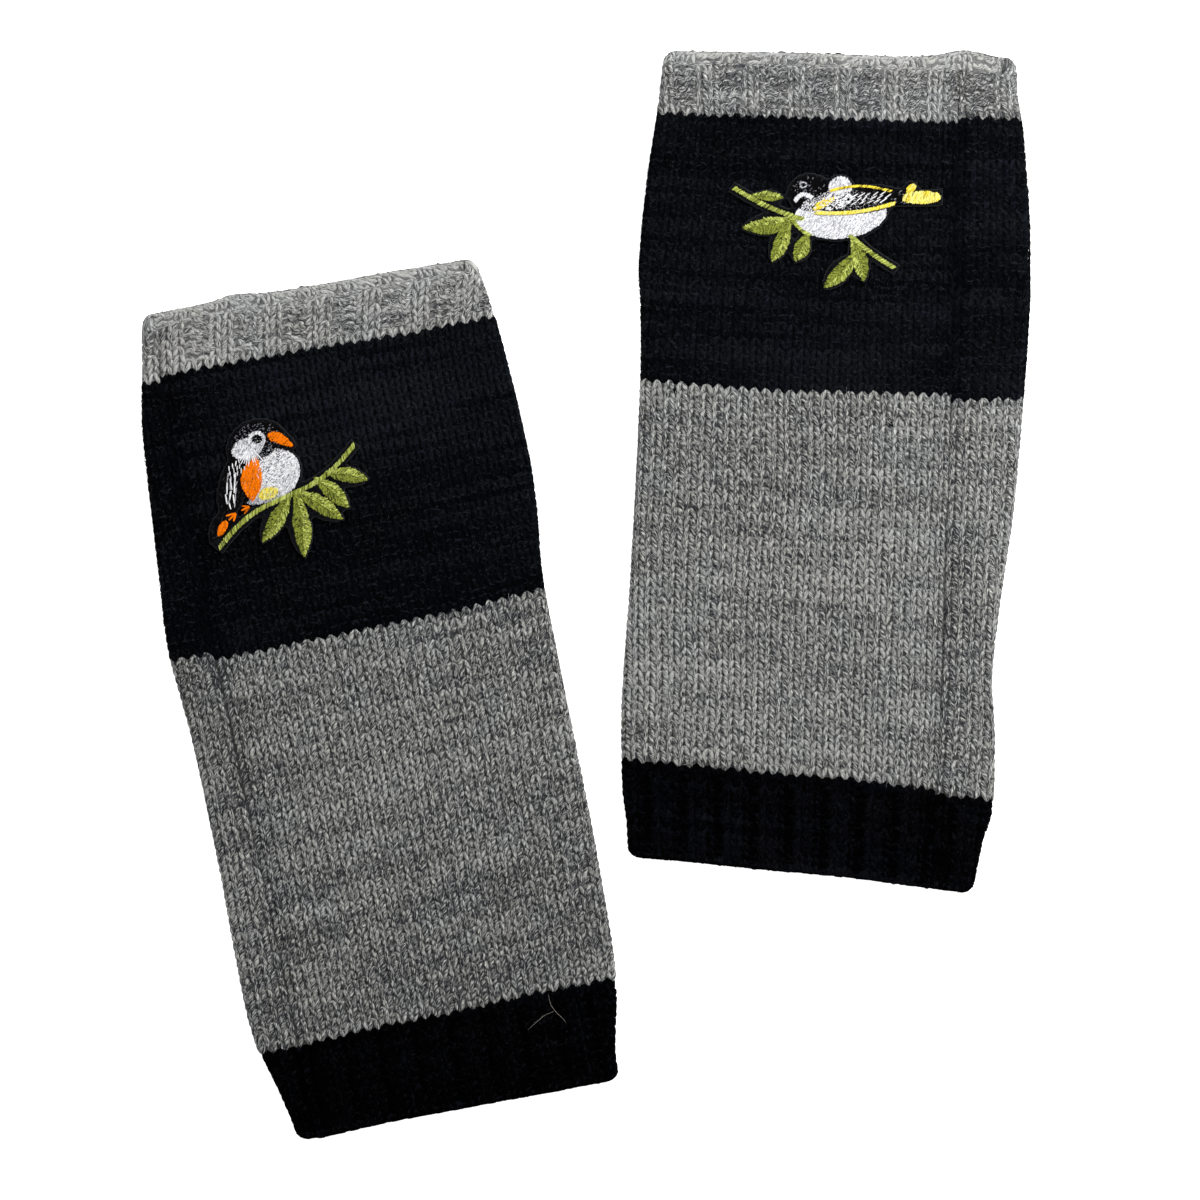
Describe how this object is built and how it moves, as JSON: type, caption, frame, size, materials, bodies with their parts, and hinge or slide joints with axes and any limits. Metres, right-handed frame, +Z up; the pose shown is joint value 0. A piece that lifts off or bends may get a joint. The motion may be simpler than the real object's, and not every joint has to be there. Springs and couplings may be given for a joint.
{
  "type": "pair of knitted arm warmers",
  "caption": "Pair of knitted tube arm warmers lying flat, with ribbed cuffs, grey and black bands, a lengthwise seam and an embroidered songbird patch on each.",
  "frame": {"origin": "on the surface that the pair lies on, under the middle of the pair's outline", "axes": "+X across the arms, from the left arm warmer to the right one, +Y up the arms towards the upper cuffs, +Z up from the surface"},
  "size_m": [0.338, 0.4132, 0.0084],
  "materials": {
    "grey_knit": "matt heather grey plain and ribbed knit",
    "black_knit": "matt black plain and ribbed knit with a faint fuzz",
    "black_felt": "matt black felt",
    "bird_thread": "satin stitched embroidery thread in white, grey, black, orange and yellow",
    "leaf_thread": "satin stitched embroidery thread in olive and lime green"
  },
  "bodies": {
    "root": {"left_lower_cuff": "black_knit", "left_grey_body": "grey_knit", "left_black_band": "black_knit", "left_upper_cuff": "grey_knit", "left_patch_felt": "black_felt", "left_patch_bird": "bird_thread", "left_patch_spray": "leaf_thread", "right_lower_cuff": "black_knit", "right_grey_body": "grey_knit", "right_black_band": "black_knit", "right_upper_cuff": "grey_knit", "right_patch_felt": "black_felt", "right_patch_bird": "bird_thread", "right_patch_twig": "leaf_thread", "right_patch_lower_twig": "leaf_thread"}
  },
  "joints": []
}
